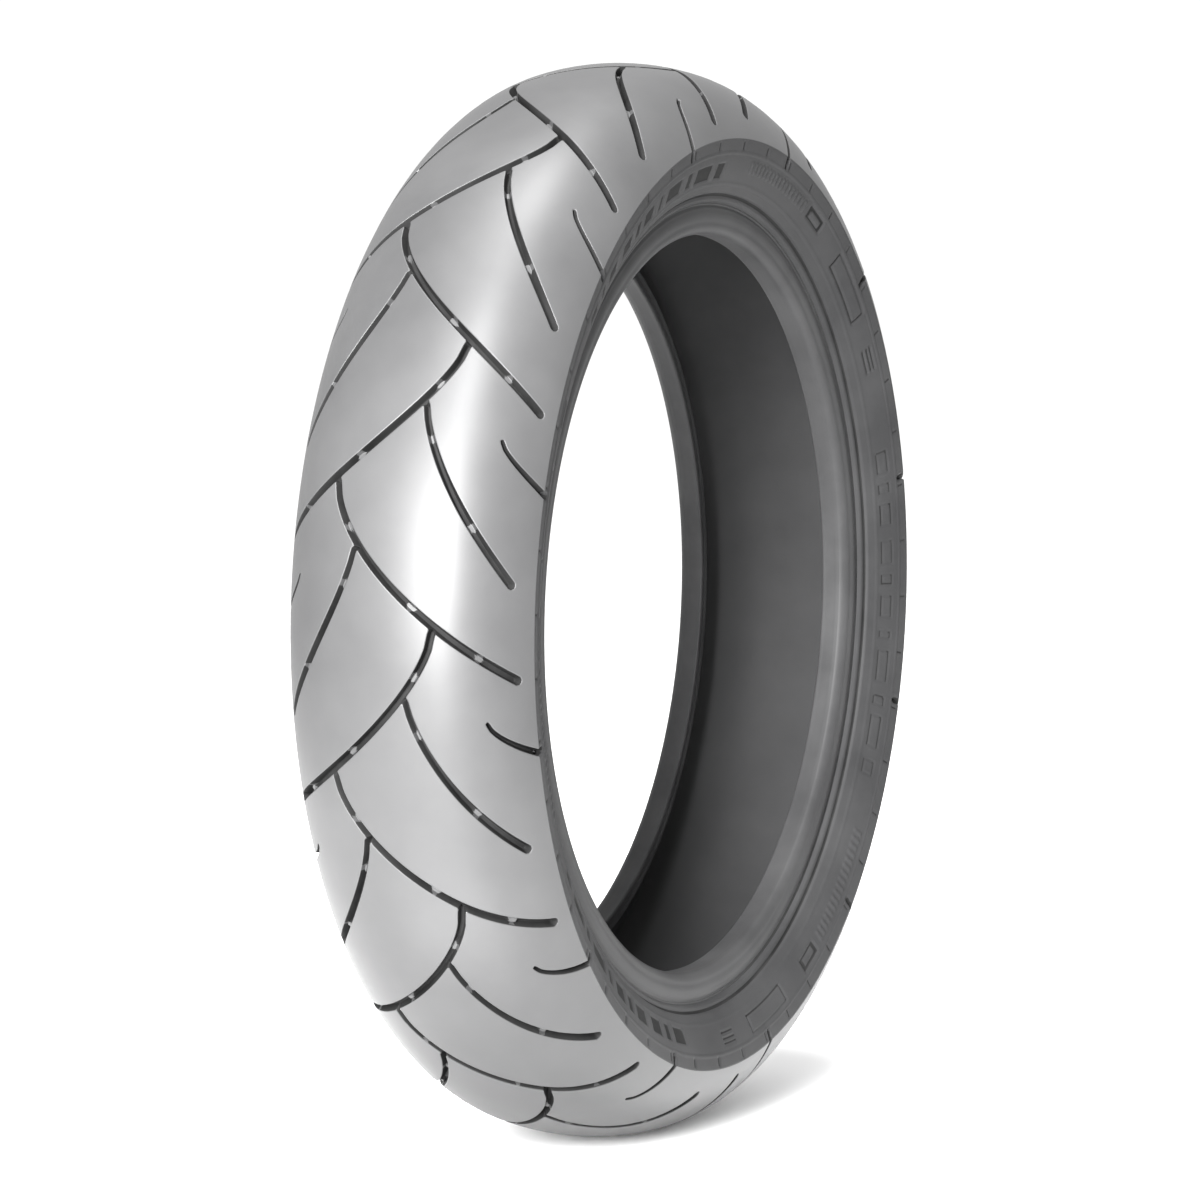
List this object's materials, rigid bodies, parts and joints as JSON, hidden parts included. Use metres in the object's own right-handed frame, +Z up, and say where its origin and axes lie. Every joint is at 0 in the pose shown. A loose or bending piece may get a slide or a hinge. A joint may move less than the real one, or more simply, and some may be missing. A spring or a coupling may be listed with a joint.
{
  "type": "motorcycle tire",
  "caption": "Wide rear motorcycle tyre off its rim: rounded tread with curved, mirrored grooves, two sidewalls, cord layers, wire beads.",
  "frame": {"origin": "wheel centre: on the spin axis, midway between the two beads", "axes": "+Y along the spin axis, +Z up; the tyre is the same in every direction across Y except for its groove pattern, which repeats twelve times"},
  "size_m": [0.638, 0.1506, 0.638],
  "materials": {
    "tread_rubber": "satin",
    "base_rubber": "matte",
    "sidewall_rubber": "matte",
    "rim_strip_rubber": "matte",
    "liner_rubber": "matte",
    "ply_cord": "rubberised",
    "bead_wire": "drawn"
  },
  "bodies": {
    "root": {"tread_cap": "tread_rubber", "tread_base": "base_rubber", "shoulder_wedge_left": "base_rubber", "shoulder_wedge_right": "base_rubber", "bead_apex_left": "base_rubber", "bead_apex_right": "base_rubber", "sidewall_left": "sidewall_rubber", "sidewall_right": "sidewall_rubber", "rim_strip_left": "rim_strip_rubber", "rim_strip_right": "rim_strip_rubber", "inner_liner": "liner_rubber", "breaker_ply_outer": "ply_cord", "breaker_ply_inner": "ply_cord", "carcass_ply_outer": "ply_cord", "carcass_ply_inner": "ply_cord", "chafer_left": "ply_cord", "chafer_right": "ply_cord", "bead_wrap_left": "ply_cord", "bead_wrap_right": "ply_cord", "bead_wires_left": "bead_wire", "bead_wires_right": "bead_wire"}
  },
  "joints": []
}
